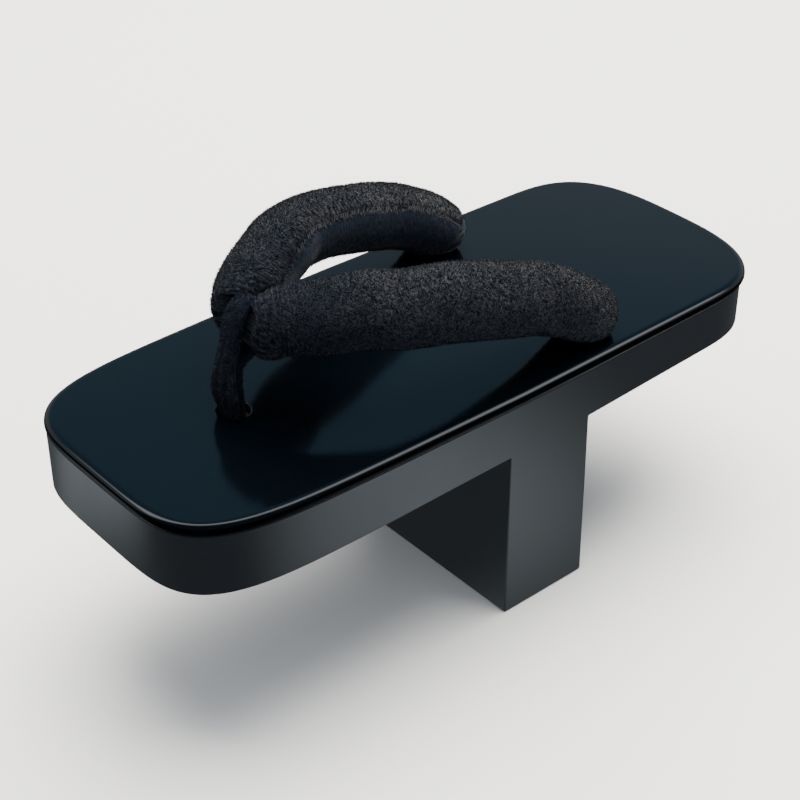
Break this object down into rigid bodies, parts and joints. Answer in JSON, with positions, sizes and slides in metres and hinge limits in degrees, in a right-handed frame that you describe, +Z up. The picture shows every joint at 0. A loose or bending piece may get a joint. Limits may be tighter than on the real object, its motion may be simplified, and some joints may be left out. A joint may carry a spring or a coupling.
{
  "type": "one-tooth geta sandal",
  "caption": "Lacquered wooden sandal on a single broad tooth, with a padded thong from a toe loop to holes at both sides.",
  "frame": {"origin": "on the floor, under the middle of the deck", "axes": "+Z up, +Y from toe to heel along the deck, +X to the wearer's left with the toe pointing away"},
  "size_m": [0.1072, 0.26, 0.137],
  "materials": {
    "satin_wood": "black, satin",
    "gloss_lacquer": "black lacquer, high gloss",
    "velour": "short dense pile",
    "cord_cloth": "gathered cloth"
  },
  "bodies": {
    "root": {"block": "satin_wood", "top_board": "gloss_lacquer", "thong": "velour", "toe_loop": "cord_cloth"}
  },
  "joints": []
}
